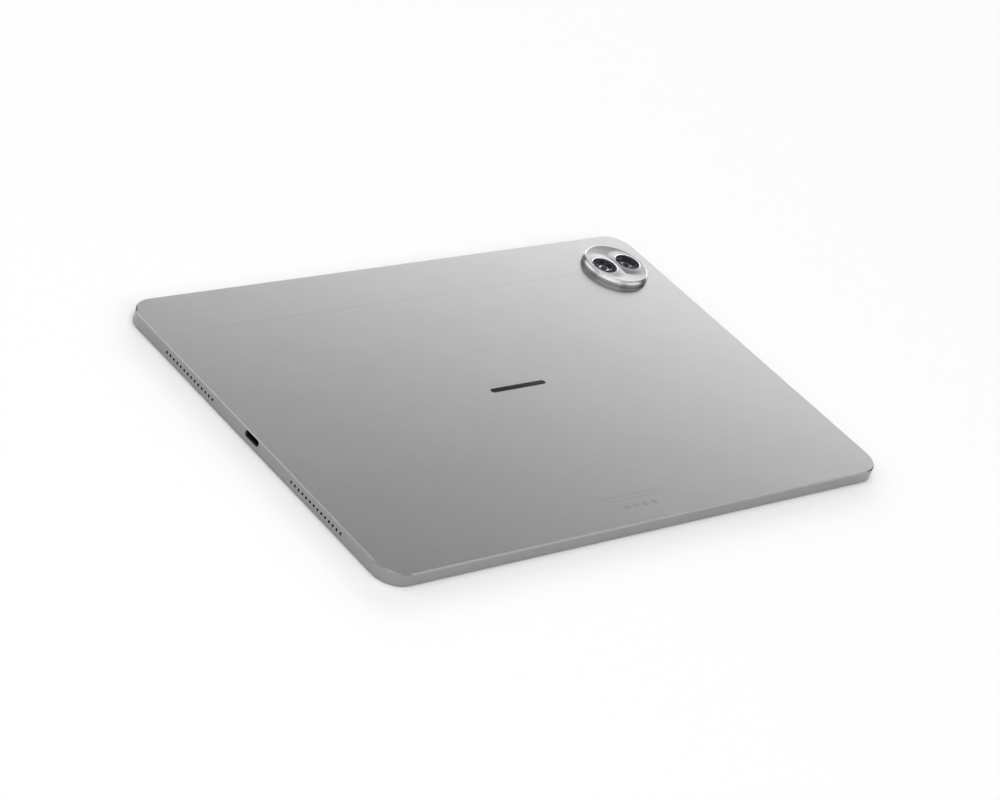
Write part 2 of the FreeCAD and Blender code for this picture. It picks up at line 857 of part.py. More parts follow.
def front_camera():
    """Camera behind the screen's border; its body hangs below the display's edge."""
    body = middle_block((0, wall_y - front_camera_size / 2),
                        (front_camera_size, front_camera_size),
                        (bay_floor, bay_floor + front_camera_height))
    barrel = rod(front_lens_radius, V(0, front_camera_y, ledge_z), Z_AXIS, bay_floor - ledge_z)
    return body.fuse(barrel)


# ---- Boards and battery ---------------------------------------------------------------------

def main_board():
    board = block((main_left, main_right), (main_bottom, main_top), (board_z, board_top))
    return drilled(board, main_board_screws())


main_middle = (main_left + main_right) / 2
processor_y = main_top - processor_from_top
power_chip_y = main_top - power_chips_from_top
shield_roof = bay_roof - seat_gap
chip_top = shield_roof - shield_skin - slide_gap
shields = {"processor": (processor_y, 40.0), "power": (power_chip_y, 26.0)}


def shield_can(name):
    """A folded tin lid over one group of chips, soldered to the board."""
    y, length = shields[name]
    lid = middle_block((main_middle, y), (shield_width, length), (board_top, shield_roof))
    inside = (shield_width - 2 * shield_skin, length - 2 * shield_skin)
    return lid.cut(middle_block((main_middle, y), inside, (board_top - 1, shield_roof - shield_skin)))


def processor():
    return middle_block((main_middle, processor_y), (processor_size, processor_size),
                        (board_top, chip_top))


def board_chips():
    """The storage chip beside the processor, and the row of power chips."""
    storage_x = main_middle + (processor_size + storage_size[0]) / 2 + part_gap
    storage = middle_block((storage_x, processor_y), storage_size, (board_top, chip_top))
    power = [middle_block((main_middle + i * power_chip_pitch, power_chip_y),
                          (power_chip_size, power_chip_size), (board_top, chip_top))
             for i in (-1, 0, 1)]
    return group([storage] + power)


def board_connectors():
    """Sockets on the boards, one for each end of a flex: on the screen side, then the back side."""
    low = [(main_right - socket_inset, 0, display_flex_width),
           (main_left + socket_inset, battery_top - battery_flex_reach, battery_flex_reach),
           (camera_x["second"], main_top - flex_overlap / 2, camera_flex_width - socket_width)]
    high = [(main_left + socket_width / 2, 0, interconnect_width),
            (port_board_end - socket_width / 2, 0, interconnect_width)]
    sockets = [middle_block((x, y), (socket_width, length), (flex_z[1], board_z))
               for x, y, length in low]
    sockets += [middle_block((x, y), (socket_width, length), (board_top, long_flex_z[0]))
                for x, y, length in high]
    return group(sockets)


def battery_cells():
    """The two cells' (low, high) extents along the length."""
    middle = (battery_left + battery_right) / 2
    half_gap = battery_cell_gap / 2
    return {"left": (battery_left, middle - half_gap), "right": (middle + half_gap, battery_right)}


battery_z = (bay_floor, bay_floor + battery_thickness)
long_flex_z = (battery_z[1], battery_z[1] + flex_thickness)


def battery_cell(name):
    low, high = battery_cells()[name]
    cell = slab(high - low, battery_top - battery_bottom, battery_corner, battery_z,
                ((low + high) / 2, (battery_top + battery_bottom) / 2))
    return cell.makeFillet(battery_edge_round,
                           edges_at(cell, battery_z[0]) + edges_at(cell, battery_z[1]))


def battery_guard_board():
    z = (flex_z[1], flex_z[1] + board_thickness)
    y = (guard_bottom, guard_bottom + guard_board_width)
    return block((battery_left + guard_board_inset, battery_right - guard_board_inset), y, z)


def battery_tabs():
    """Two nickel tabs from the end of each cell, welded to the guard board."""
    z = flex_z[1] + board_thickness
    tabs = []
    for low, high in battery_cells().values():
        for side in (-1, 1):
            x = (low + high) / 2 + side * tab_offset
            tabs.append(block((x - tab_width / 2, x + tab_width / 2),
                              (battery_top, guard_bottom + tab_weld), (z, z + tab_thickness)))
    return group(tabs)


def battery_flex():
    """Joins the battery's guard board to the main board."""
    x = main_left + socket_inset
    y = (guard_bottom, guard_bottom + guard_board_width)
    run = block((battery_right - guard_board_inset - flex_overlap, x + socket_width / 2), y, flex_z)
    return run.fuse(block((x - socket_width / 2, x + socket_width / 2),
                          (battery_top - 1.5 * battery_flex_reach, guard_bottom + 1), flex_z))


def battery_adhesive():
    """Pull strips that hold each cell to the back wall, either side of the long flex."""
    strips = []
    near_edge = interconnect_width / 2 + strip_from_flex
    for low, high in battery_cells().values():
        for side in (-1, 1):
            y = sorted((side * near_edge, side * (near_edge + strip_width)))
            strips.append(block((low + strip_inset, high - strip_inset), y, (battery_z[1], bay_roof)))
    return group(strips)


def interconnect_flex():
    """Runs from the port's board over the battery to the main board."""
    return block((port_board_end - socket_width, main_left + socket_width),
                 (-interconnect_width / 2, interconnect_width / 2), long_flex_z)


def cover_magnets():
    """Magnets along the near edge that a keyboard cover clings to."""
    y = -wall_y + magnet_depth / 2
    places = [side * (i + 0.5) * magnet_spacing for i in range(magnet_pairs) for side in (-1, 1)]
    z = (bay_roof - magnet_height, bay_roof)
    return group([middle_block((x, y), (magnet_length, magnet_depth), z) for x in places])


def housing_screws():
    screws = []
    length, width, depth = screw_slot
    for x, y in screw_places():
        head = rod(screw_head_radius, V(x, y, screw_seat - screw_head_height), Z_AXIS, screw_head_height)
        shank = rod(screw_radius, V(x, y, screw_seat), Z_AXIS, board_thickness + screw_grip - seat_gap)
        slot_z = (screw_seat - screw_head_height, screw_seat - screw_head_height + depth)
        slots = [middle_block((x, y), size, slot_z) for size in ((length, width), (width, length))]
        screws.append(head.fuse(shank).cut(slots))
    return group(screws)


# ---- Radio and sound ------------------------------------------------------------------------

trace_z = bay_roof - trace_thickness
coax_z = board_top + coax_radius + slide_gap / 2


def antenna(name):
    """A plastic carrier with its raised conductor, under the antenna strip."""
    place = (antenna_x[name], antenna_y)
    def plate(inset, z):
        return slab(antenna_width - 2 * inset, antenna_height - 2 * inset, antenna_corner, z, place)

    carrier = plate(0, (board_top, trace_z))
    trace = plate(trace_inset, (trace_z, bay_roof))
    return carrier.fuse(trace.cut(plate(trace_inset + trace_width, (trace_z - 1, bay_roof + 1))))


def coax(points):
    line = path(points, coax_bend)
    start = Part.Wire(Part.makeCircle(coax_radius, points[0], (points[1] - points[0]).normalize()))
    return line.makePipeShell([start], True, True)


def antenna_coax():
    """A thin coaxial lead from the main board's end to each antenna."""
    leads = []
    for name, end_x in antenna_x.items():
        x, lane = main_left + coax_starts[name], main_top + coax_lanes[name]
        leads.append(coax([V(x, main_top - coax_overlap, coax_z), V(x, lane, coax_z),
                           V(end_x, lane, coax_z), V(end_x, antenna_y - antenna_height / 2, coax_z)]))
    return group(leads)


def microphones():
    z = (hole_z - mic_height / 2, hole_z + mic_height / 2)
    return group([block((x - mic_size / 2, x + mic_size / 2), (wall_y - mic_thickness, wall_y), z)
                  for x in mic_places])


# ---- The whole tablet, one STEP file for each node ------------------------------------------

def nodes():
    made = {
        "rear_housing": rear_housing(),
        "antenna_slot_filler": antenna_slot_filler(),
        "cover_glass": cover_glass(),
        "glass_border_print": glass_border_print(),
        "optical_bond": optical_bond(),
        "display_adhesive": display_adhesive(),
        "lcd_panel": lcd_panel(),
        "backlight_unit": backlight_unit(),
        "backlight_tray": backlight_tray(),
        "heat_spreader": heat_spreader(),
        "display_flex": display_flex(),
        "power_button": power_button(),
        "power_switch_dome": power_switch_dome(),
        "power_switch": power_switch(),
        "power_key_bracket": power_key_bracket(),
        "volume_rocker": volume_rocker(),
        "volume_switch_domes": volume_switch_domes(),
        "volume_switches": volume_switches(),
        "volume_key_bracket": volume_key_bracket(),
        "usb_shell": usb_shell(),
        "usb_tongue": usb_tongue(),
        "usb_contacts": usb_contacts(),
        "usb_board": usb_board(),
        "speaker_drivers": speaker_drivers(),
        "speaker_magnets": speaker_magnets(),
        "speaker_meshes": speaker_meshes(),
        "camera_disc": camera_disc(),
        "camera_board": camera_board(),
        "camera_bracket": camera_bracket(),
        "camera_flex": camera_flex(),
        "front_camera": front_camera(),
        "main_board": main_board(),
        "processor": processor(),
        "board_chips": board_chips(),
        "board_connectors": board_connectors(),
        "battery_guard_board": battery_guard_board(),
        "battery_flex": battery_flex(),
        "battery_tabs": battery_tabs(),
        "battery_adhesive": battery_adhesive(),
        "interconnect_flex": interconnect_flex(),
        "cover_magnets": cover_magnets(),
        "housing_screws": housing_screws(),
        "antenna_coax": antenna_coax(),
        "microphones": microphones(),
    }
    for sx, end in ((-1, "port_end"), (1, "camera_end")):
        for sy, edge in ((-1, "near"), (1, "far")):
            made[f"speaker_box_{end}_{edge}"] = speaker_box(sx, sy)
    for name in camera_x:
        made[f"camera_window_{name}"] = camera_window(name)
        made[f"camera_case_{name}"] = camera_case(name)
        made[f"camera_lens_{name}"] = camera_lens(name, slide_gap if name == "main" else 0)
    for name in shields:
        made[f"shield_can_{name}"] = shield_can(name)
    for name in battery_cells():
        made[f"battery_cell_{name}"] = battery_cell(name)
    for name in antenna_x:
        made[f"antenna_{name}"] = antenna(name)
    return made


os.makedirs("parts", exist_ok=True)
for node, shape in nodes().items():
    if not shape.isValid():
        print("not valid:", node)
    shape.exportStep(f"parts/{node}.step")
    print(f"{node}: {len(shape.Solids)} solids, {shape.Volume / 1000:.3f} cm3")
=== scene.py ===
import math

import bpy
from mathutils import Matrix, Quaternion, Vector


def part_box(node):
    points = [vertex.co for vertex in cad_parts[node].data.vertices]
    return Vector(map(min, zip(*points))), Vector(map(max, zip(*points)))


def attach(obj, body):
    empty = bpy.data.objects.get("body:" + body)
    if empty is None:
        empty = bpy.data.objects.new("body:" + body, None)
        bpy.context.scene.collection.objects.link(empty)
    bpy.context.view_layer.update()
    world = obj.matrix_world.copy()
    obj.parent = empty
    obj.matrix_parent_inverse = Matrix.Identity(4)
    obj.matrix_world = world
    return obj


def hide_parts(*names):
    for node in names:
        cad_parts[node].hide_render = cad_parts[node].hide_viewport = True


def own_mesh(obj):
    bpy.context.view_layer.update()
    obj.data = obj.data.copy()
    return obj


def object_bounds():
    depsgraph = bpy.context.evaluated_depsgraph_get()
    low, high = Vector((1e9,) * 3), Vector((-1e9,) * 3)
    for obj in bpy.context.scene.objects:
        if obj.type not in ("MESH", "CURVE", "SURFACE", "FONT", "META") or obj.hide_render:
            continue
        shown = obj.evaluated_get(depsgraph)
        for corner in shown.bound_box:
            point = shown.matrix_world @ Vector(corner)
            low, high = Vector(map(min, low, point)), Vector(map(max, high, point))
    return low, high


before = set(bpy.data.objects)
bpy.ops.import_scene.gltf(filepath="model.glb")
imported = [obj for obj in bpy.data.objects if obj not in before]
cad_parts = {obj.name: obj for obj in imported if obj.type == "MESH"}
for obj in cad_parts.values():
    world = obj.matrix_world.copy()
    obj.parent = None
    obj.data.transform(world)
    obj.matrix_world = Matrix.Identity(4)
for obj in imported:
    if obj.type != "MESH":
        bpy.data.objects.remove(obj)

cad_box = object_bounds()

# Camera. It stands off the corner between the port end and the plain long edge, and looks down at the back.
# It is tipped by nearly a quarter of a right angle about its own line of sight.
camera_place = Vector((-0.849, -0.696, 0.6386))
camera_target = Vector((-0.0067, 0.0007, 0))
camera_roll = math.radians(21.11)
camera_lens = bpy.data.cameras.new("view_from_port_corner")
camera_lens.lens = 111.27
camera_lens.sensor_width = 36
camera = bpy.data.objects.new("view_from_port_corner", camera_lens)
level_turn = (camera_target - camera_place).to_track_quat("-Z", "Y")
camera.rotation_mode = "QUATERNION"
camera.rotation_quaternion = level_turn @ Quaternion((0, 0, 1), camera_roll)
camera.location = camera_place
bpy.context.collection.objects.link(camera)
bpy.context.scene.camera = camera

# Studio floor. A sheet of matt white board, far wider than the tablet, which the screen's glass rests on.
# It is a hair below the glass, so that the two never share a surface.
floor_drop = 0.00005
bpy.ops.object.select_all(action="DESELECT")
bpy.ops.mesh.primitive_plane_add(size=14, location=(0, 0, cad_box[0][2] - floor_drop))
floor = bpy.context.object
floor.name = "studio_floor"
bpy.ops.object.transform_apply(location=True, rotation=True, scale=True)


def start_finish(name, colour, roughness, metal=0.0):
    """A new finish with its plain colour, roughness and metal set. Returns the material and its shader."""
    material = bpy.data.materials.new(name)
    material.use_nodes = True
    shader = material.node_tree.nodes["Principled BSDF"]
    shader.inputs["Base Color"].default_value = (*colour, 1)
    shader.inputs["Roughness"].default_value = roughness
    shader.inputs["Metallic"].default_value = metal
    return material, shader


def object_noise(material, size, stretch=(1, 1, 1), detail=3):
    """A noise over the piece's own coordinates, with lumps of that size, drawn out by the stretch."""
    tree = material.node_tree
    place = tree.nodes.new("ShaderNodeTexCoord")
    squeeze = tree.nodes.new("ShaderNodeMapping")
    squeeze.inputs["Scale"].default_value = [1 / length for length in stretch]
    noise = tree.nodes.new("ShaderNodeTexNoise")
    noise.inputs["Scale"].default_value = 1 / size
    noise.inputs["Detail"].default_value = detail
    tree.links.new(place.outputs["Object"], squeeze.inputs["Vector"])
    tree.links.new(squeeze.outputs["Vector"], noise.inputs["Vector"])
    return noise.outputs["Fac"]


def work_in(material, shader, pattern, depth=0.0, colours=None, gloss=None):
    """Works a pattern from 0 to 1 into a finish: dents of that depth, a blend of two colours, and a roughness
    that runs between two values."""
    tree = material.node_tree
    if depth:
        dent = tree.nodes.new("ShaderNodeBump")
        dent.inputs["Distance"].default_value = depth
        dent.inputs["Strength"].default_value = 1
        tree.links.new(pattern, dent.inputs["Height"])
        if shader.inputs["Normal"].is_linked:
            tree.links.new(shader.inputs["Normal"].links[0].from_socket, dent.inputs["Normal"])
        tree.links.new(dent.outputs["Normal"], shader.inputs["Normal"])
    if colours:
        blend = tree.nodes.new("ShaderNodeValToRGB")
        blend.color_ramp.elements[0].position = 0.3
        blend.color_ramp.elements[1].position = 0.7
        for stop, colour in zip(blend.color_ramp.elements, colours):
            stop.color = (*colour, 1)
        tree.links.new(pattern, blend.inputs["Fac"])
        tree.links.new(blend.outputs["Color"], shader.inputs["Base Color"])
    if gloss:
        spread = tree.nodes.new("ShaderNodeMapRange")
        spread.inputs["From Min"].default_value = 0.3
        spread.inputs["From Max"].default_value = 0.7
        spread.inputs["To Min"].default_value = gloss[0]
        spread.inputs["To Max"].default_value = gloss[1]
        tree.links.new(pattern, spread.inputs["Value"])
        tree.links.new(spread.outputs["Result"], shader.inputs["Roughness"])


white_board, board_shader = start_finish("white_board", (0.96, 0.96, 0.96), 0.9)
paper_grain = object_noise(white_board, 0.004)
work_in(white_board, board_shader, paper_grain, depth=0.00003,
        colours=((0.955, 0.955, 0.955), (0.965, 0.965, 0.965)))
floor.data.materials.append(white_board)

# Studio light. Soft panels hang overhead and all round, and the room itself is dim. The long low panel beyond
# the camera corner is the brightest, and gives the satin back its sheen.
room = bpy.data.worlds.new("pale_room")
room.use_nodes = True
room.node_tree.nodes["Background"].inputs["Color"].default_value = (1, 1, 1, 1)
room.node_tree.nodes["Background"].inputs["Strength"].default_value = 0.15
bpy.context.scene.world = room
bpy.context.scene.view_settings.view_transform = "Standard"


def hang_panel(name, place, width, height, brightness):
    """A flat soft light that faces the tablet from that place, with the same brightness whatever its size."""
    panel_light = bpy.data.lights.new(name, "AREA")
    panel_light.shape = "RECTANGLE"
    panel_light.size = width
    panel_light.size_y = height
    panel_light.energy = brightness * math.pi * width * height
    panel = bpy.data.objects.new(name, panel_light)
    panel.location = place
    panel.rotation_mode = "QUATERNION"
    panel.rotation_quaternion = (-Vector(place)).to_track_quat("-Z", "Y")
    panel.visible_camera = False
    bpy.context.collection.objects.link(panel)


def skyward(bearing, height_angle, distance):
    """The place at that distance from the middle of the tablet, at that bearing from +X and that angle up."""
    bearing = math.radians(bearing)
    height_angle = math.radians(height_angle)
    level = distance * math.cos(height_angle)
    return (level * math.cos(bearing), level * math.sin(bearing), distance * math.sin(height_angle))


hang_panel("overhead_panel", (0.1, 0.08, 2.2), 2.1, 2.1, 1.55)
hang_panel("far_panel", skyward(40, 17, 3.0), 3.4, 0.9, 4.3)
hang_panel("far_left_panel", skyward(60, 14, 3.0), 1.6, 0.9, 1.1)
hang_panel("left_panel", skyward(128, 28, 2.5), 2.4, 1.1, 1.4)
hang_panel("near_panel", skyward(218, 34, 2.5), 4.6, 1.3, 1.7)
hang_panel("near_upper_panel", skyward(218, 58, 2.5), 5.0, 1.2, 0.5)
hang_panel("right_panel", skyward(308, 28, 2.5), 2.4, 1.1, 1.2)

# Rear housing. One piece of aluminium, milled, blasted with fine beads and anodised silver. Its side is
# linished along its length, and a cutter leaves a narrow bright chamfer between the side and the back.
housing_silver = (0.33, 0.33, 0.333)
blasted_aluminium, blasted_shader = start_finish("blasted_aluminium", housing_silver, 0.30, metal=1.0)


def cut_chamfer_gloss(material, shader, satin, bright):
    """Gives faces that slope at half a right angle the bright cutter's gloss, and the rest the satin one."""
    slope_margin = 0.1
    tree = material.node_tree
    facing = tree.nodes.new("ShaderNodeNewGeometry")
    parts = tree.nodes.new("ShaderNodeSeparateXYZ")
    sloped = tree.nodes.new("ShaderNodeMath")
    sloped.operation = "COMPARE"
    sloped.inputs[1].default_value = math.sin(math.radians(45))
    sloped.inputs[2].default_value = slope_margin
    gloss = tree.nodes.new("ShaderNodeMapRange")
    gloss.inputs["To Min"].default_value = satin
    gloss.inputs["To Max"].default_value = bright
    tree.links.new(facing.outputs["True Normal"], parts.inputs["Vector"])
    tree.links.new(parts.outputs["Z"], sloped.inputs[0])
    tree.links.new(sloped.outputs["Value"], gloss.inputs["Value"])
    tree.links.new(gloss.outputs["Result"], shader.inputs["Roughness"])


bead_dents = object_noise(blasted_aluminium, 0.00015, detail=2)
linished_lines = object_noise(blasted_aluminium, 0.00012, stretch=(90, 90, 1), detail=2)
anodise_clouds = object_noise(blasted_aluminium, 0.012, detail=4)
work_in(blasted_aluminium, blasted_shader, bead_dents, depth=0.0000015)
work_in(blasted_aluminium, blasted_shader, linished_lines, depth=0.000003)
work_in(blasted_aluminium, blasted_shader, anodise_clouds,
        colours=((0.325, 0.325, 0.328), (0.335, 0.335, 0.338)))
cut_chamfer_gloss(blasted_aluminium, blasted_shader, 0.30, 0.27)


def dress(material, *names):
    """Puts a finish on CAD nodes."""
    for name in names:
        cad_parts[name].material_slots[0].material = material


dress(blasted_aluminium, "rear_housing")

# Antenna slot. Radio waves leave through a hair-thin slot in the back, which is filled with nylon, blasted
# flush and sprayed with a metallic lacquer a shade darker than the housing.
seam_plastic, seam_shader = start_finish("seam_plastic", (0.305, 0.305, 0.308), 0.32, metal=1.0)
work_in(seam_plastic, seam_shader, object_noise(seam_plastic, 0.0002), depth=0.000002,
        colours=((0.295, 0.295, 0.298), (0.315, 0.315, 0.318)), gloss=(0.31, 0.34))
dress(seam_plastic, "antenna_slot_filler")

# Back marks. A plain slim inlay of dark polished steel lies in the middle of the back. Near the plain long
# edge, two rows of short dashes and four blank patches are etched.
back_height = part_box("rear_housing")[1].z
smooth_angle = math.radians(30)


def settle(piece, name):
    """Names a finished piece, puts its place into its mesh and smooths its gentle edges."""
    piece.name = name
    piece.data.name = name
    bpy.ops.object.transform_apply(location=True, rotation=True, scale=True)
    bpy.ops.object.shade_smooth_by_angle(angle=smooth_angle)
    return piece


def belong(piece, body, material):
    """Gives a new piece its finish and the body that it moves with."""
    piece.data.materials.clear()
    piece.data.materials.append(material)
    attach(piece, body)


def round_ended_bar(name, middle, length, width, proud):
    """A thin bar with round ends, which stands proud of the back by that much and has a softened top edge."""
    bpy.ops.object.select_all(action="DESELECT")
    sink = 0.0001
    height = proud + sink
    centre = (middle[0], middle[1], back_height + proud - height / 2)
    bpy.ops.mesh.primitive_cylinder_add(vertices=48, radius=width / 2, depth=height, location=centre)
    bar = bpy.context.object
    for vertex in bar.data.vertices:
        vertex.co.x += math.copysign((length - width) / 2, vertex.co.x)
    bpy.ops.object.mode_set(mode="EDIT")
    bpy.ops.mesh.select_all(action="DESELECT")
    bpy.ops.object.mode_set(mode="OBJECT")
    for face in bar.data.polygons:
        face.select = face.normal.z > 0.9
    bpy.ops.object.mode_set(mode="EDIT")
    bpy.ops.mesh.inset(thickness=proud)
    bpy.ops.transform.translate(value=(0, 0, proud * 0.2))
    bpy.ops.object.mode_set(mode="OBJECT")
    for vertex in bar.data.vertices:
        vertex.co.z = min(vertex.co.z, height / 2)
    return settle(bar, name)


dark_inlay, inlay_shader = start_finish("dark_polished_inlay", (0.045, 0.045, 0.05), 0.16, metal=1.0)
work_in(dark_inlay, inlay_shader, object_noise(dark_inlay, 0.0004, stretch=(40, 1, 1)), depth=0.000001,
        colours=((0.040, 0.040, 0.045), (0.055, 0.055, 0.060)), gloss=(0.12, 0.20))
inlay_middle = (0.0008, 0.0005)
inlay_length = 0.0302
inlay_width = 0.0026
inlay_proud = 0.00003
inlay = round_ended_bar("back_inlay_bar", inlay_middle, inlay_length, inlay_width, inlay_proud)
belong(inlay, "tablet_body", dark_inlay)

etched_grey, etched_shader = start_finish("etched_grey", (0.24, 0.24, 0.245), 0.6)
work_in(etched_grey, etched_shader, object_noise(etched_grey, 0.0001), depth=0.000004,
        colours=((0.22, 0.22, 0.225), (0.27, 0.27, 0.275)))


def join_pieces(pieces, name):
    """Makes one piece of several."""
    bpy.ops.object.select_all(action="DESELECT")
    for piece in pieces:
        piece.select_set(True)
    bpy.context.view_layer.objects.active = pieces[0]
    bpy.ops.object.join()
    return settle(pieces[0], name)


dash_proud = 0.00001
dash_width = 0.00045
dash_gap = 0.0007


def dash_row(middle_x, y, lengths):
    """A row of thin dashes of those lengths, side by side about a middle."""
    span = sum(lengths) + dash_gap * (len(lengths) - 1)
    start = middle_x - span / 2
    row = []
    for number, length in enumerate(lengths):
        row.append(round_ended_bar(f"dash_{number}", (start + length / 2, y), length, dash_width, dash_proud))
        start += length + dash_gap
    return row


rows_middle = -0.0005
small_print = dash_row(rows_middle, -0.0738, [0.0026, 0.0061, 0.0034, 0.0072, 0.0029, 0.0049, 0.0038])
small_print += dash_row(rows_middle, -0.0762, [0.0042, 0.0031, 0.0064, 0.0045, 0.0023])
first_blank = -0.0075
blank_pitch = 0.005
blank_length = 0.0034
blank_width = 0.0024
for number in range(4):
    blank_middle = (first_blank + blank_pitch * number, -0.0806)
    blank = round_ended_bar(f"blank_{number}", blank_middle, blank_length, blank_width, dash_proud)
    small_print.append(blank)
etched_marks = join_pieces(small_print, "back_etched_marks")
belong(etched_marks, "tablet_body", etched_grey)

# Camera disc. A round boss turned from aluminium, with an upright wall, a bright cut bevel and a hollowed
# top. Two flats carry the camera windows, and the hollow narrows between them to a waist.
disc_low, disc_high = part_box("camera_disc")
disc_middle = (disc_low + disc_high) / 2
disc_radius = (disc_high.x - disc_low.x) / 2
disc_crown = disc_high.z
wall_top = disc_crown - 0.0013
bevel_width = 0.00095
rim_width = 0.0007
hollow_radius = disc_radius - bevel_width - rim_width
hollow_depth = 0.0008
pad_radius = 0.0061
pad_slope = 0.0042
pad_drop = 0.00003
window_low, window_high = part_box("camera_window_main")
window_middle = {
    "main": (window_low + window_high) / 2,
    "second": sum(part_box("camera_window_second"), Vector()) / 2,
}
window_radius = (window_high.x - window_low.x) / 2


def turn_piece(name, middle, outline, steps=96):
    """A piece turned on a lathe. The outline's (radius, height) points are drawn from a single point and spun
    about the upright line through the middle. An outline that leaves the line closes on itself."""
    bpy.ops.object.select_all(action="DESELECT")
    first_radius, first_height = outline[0]
    bpy.ops.mesh.primitive_plane_add(size=0.001, location=(middle.x + first_radius, middle.y, first_height))
    bpy.ops.object.mode_set(mode="EDIT")
    bpy.ops.mesh.merge(type="CENTER")
    for here, there in zip(outline, outline[1:]):
        step = (there[0] - here[0], 0, there[1] - here[1])
        bpy.ops.mesh.extrude_region_move(TRANSFORM_OT_translate={"value": step})
    bpy.ops.mesh.select_all(action="SELECT")
    bpy.ops.mesh.spin(steps=steps, angle=2 * math.pi, center=(middle.x, middle.y, 0), axis=(0, 0, 1))
    bpy.ops.mesh.select_all(action="SELECT")
    bpy.ops.mesh.remove_doubles(threshold=0.0000005)
    bpy.ops.mesh.normals_make_consistent(inside=False)
    bpy.ops.object.mode_set(mode="OBJECT")
    return settle(bpy.context.object, name)


ring_count = 44
disc_outline = [(0, back_height), (disc_radius, back_height), (disc_radius, wall_top),
                (disc_radius - bevel_width, disc_crown)]
for ring in range(ring_count + 1):
    disc_outline.append((hollow_radius * (1 - ring / ring_count), disc_crown))
disc = turn_piece("camera_disc_turned", disc_middle, disc_outline, steps=256)
soften = disc.modifiers.new("soften_edges", "BEVEL")
soften.limit_method = "ANGLE"
soften.angle_limit = math.radians(20)
soften.width = 0.00022
soften.segments = 4
bpy.ops.object.modifier_apply(modifier="soften_edges")


def ease(amount):
    """Runs from 0 to 1 with level ends."""
    amount = min(max(amount, 0), 1)
    return amount * amount * (3 - 2 * amount)


for vertex in disc.data.vertices:
    from_middle = math.hypot(vertex.co.x - disc_middle.x, vertex.co.y - disc_middle.y)
    if vertex.co.z < disc_crown - 0.00001 or from_middle > hollow_radius:
        continue
    from_window = min(math.hypot(vertex.co.x - place.x, vertex.co.y - place.y)
                      for place in window_middle.values())
    bowl = 1 - (from_middle / hollow_radius) ** 2
    beyond_pad = ease((from_window - pad_radius) / pad_slope)
    vertex.co.z -= hollow_depth * bowl * beyond_pad + pad_drop * ease(bowl * 8)

hole_floor = back_height + 0.0012
hole_clearance = 0.00004
cutter_height = 0.004
for place in window_middle.values():
    bpy.ops.object.select_all(action="DESELECT")
    bpy.ops.mesh.primitive_cylinder_add(vertices=128, radius=window_radius + hole_clearance,
                                        depth=cutter_height,
                                        location=(place.x, place.y, hole_floor + cutter_height / 2))
    cutter = bpy.context.object
    bpy.ops.object.transform_apply(location=True)
    bpy.ops.object.select_all(action="DESELECT")
    bpy.context.view_layer.objects.active = disc
    disc.select_set(True)
    bore = disc.modifiers.new("window_bore", "BOOLEAN")
    bore.operation = "DIFFERENCE"
    bore.object = cutter
    bore.solver = "EXACT"
    bpy.ops.object.modifier_apply(modifier="window_bore")
    bpy.data.objects.remove(cutter)
bpy.ops.object.shade_smooth_by_angle(angle=smooth_angle)

band_silver = (0.54, 0.54, 0.545)
cut_band, band_shader = start_finish("cut_band", band_silver, 0.24, metal=1.0)


def turning_lines(material, middle, pitch):
    """Fine rings about the disc's middle, as the lathe's tool leaves them, from 0 to 1."""
    tree = material.node_tree
    place = tree.nodes.new("ShaderNodeTexCoord")
    centred = tree.nodes.new("ShaderNodeMapping")
    centred.inputs["Location"].default_value = (-middle.x, -middle.y, 0)
    rings = tree.nodes.new("ShaderNodeTexWave")
    rings.wave_type = "RINGS"
    rings.rings_direction = "Z"
    rings.inputs["Scale"].default_value = 1 / (pitch * 20)
    rings.inputs["Distortion"].default_value = 0.6
    tree.links.new(place.outputs["Object"], centred.inputs["Vector"])
    tree.links.new(centred.outputs["Vector"], rings.inputs["Vector"])
    return rings.outputs["Fac"]


work_in(cut_band, band_shader, turning_lines(cut_band, disc_middle, 0.00006), depth=0.0000003)
work_in(cut_band, band_shader, object_noise(cut_band, 0.003), gloss=(0.22, 0.27),
        colours=((0.53, 0.53, 0.535), (0.55, 0.55, 0.555)))
belong(disc, "tablet_body", cut_band)
dish_satin, dish_shader = start_finish("dish_satin", (0.32, 0.32, 0.323), 0.42, metal=1.0)
work_in(dish_satin, dish_shader, object_noise(dish_satin, 0.00015, detail=2), depth=0.0000015,
        colours=((0.315, 0.315, 0.318), (0.325, 0.325, 0.328)), gloss=(0.40, 0.44))
disc.data.materials.append(dish_satin)
for face in disc.data.polygons:
    from_middle = math.hypot(face.center.x - disc_middle.x, face.center.y - disc_middle.y)
    if face.center.z > wall_top and from_middle < hollow_radius + rim_width / 2:
        face.material_index = 1
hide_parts("camera_disc")

# Window rings. Each camera window sits in a thin bright trim ring, cut with a small slope on both sides, that
# is pressed into the flat round the glass.
trim_top = disc_crown
trim_foot = trim_top - 0.0005
trim_inner = window_radius + 0.00002
trim_outer = window_radius + 0.00042
trim_outline = [
    (trim_inner, trim_foot), (trim_inner, trim_top - 0.00012),
    (trim_inner + 0.00010, trim_top), (trim_outer - 0.00012, trim_top),
    (trim_outer, trim_top - 0.00006), (trim_outer, trim_foot),
    (trim_inner, trim_foot),
]
bright_trim, trim_shader = start_finish("bright_trim", (0.62, 0.62, 0.63), 0.18, metal=1.0)
work_in(bright_trim, trim_shader, object_noise(bright_trim, 0.001), gloss=(0.15, 0.21),
        colours=((0.60, 0.60, 0.61), (0.64, 0.64, 0.65)))
for which, place in window_middle.items():
    trim = turn_piece(f"window_trim_{which}", place, trim_outline, steps=128)
    belong(trim, "tablet_body", bright_trim)

